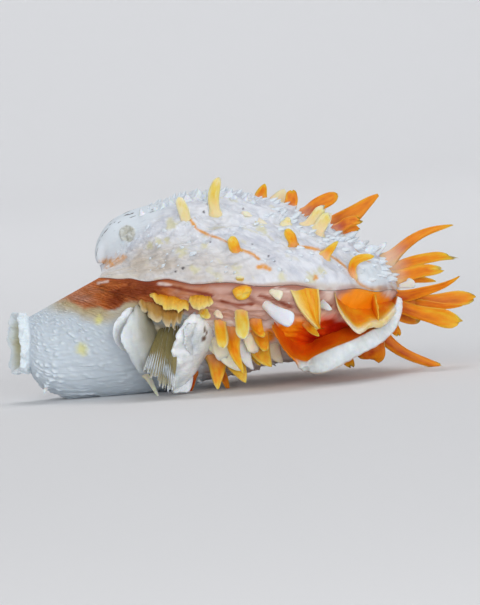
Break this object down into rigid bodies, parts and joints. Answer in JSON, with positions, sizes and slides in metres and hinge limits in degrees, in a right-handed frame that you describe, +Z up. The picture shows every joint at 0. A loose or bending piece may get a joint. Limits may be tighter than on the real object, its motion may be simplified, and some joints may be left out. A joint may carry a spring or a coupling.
{
  "type": "thorny oyster shell",
  "caption": "Closed thorny oyster shell of two hollow valves, with spines and standing plates, resting on the umbo of its lower valve.",
  "frame": {"origin": "on the surface that the shell stands on, below the middle of its bounding box", "axes": "+Z up, +X from the hinge to the ventral margin, the commissure faces -Y and +Y"},
  "size_m": [0.0896, 0.059, 0.0397],
  "materials": {
    "upper_valve_shell": "chalky white shell with fine ribs, orange lines along the main ribs and waxy orange spines",
    "lower_valve_shell": "bluish white at the umbo, pinkish brown beside the commissure, with waxy orange and yellow spines and chalky white plates"
  },
  "bodies": {
    "root": {"upper_valve": "upper_valve_shell", "lower_valve": "lower_valve_shell"}
  },
  "joints": []
}
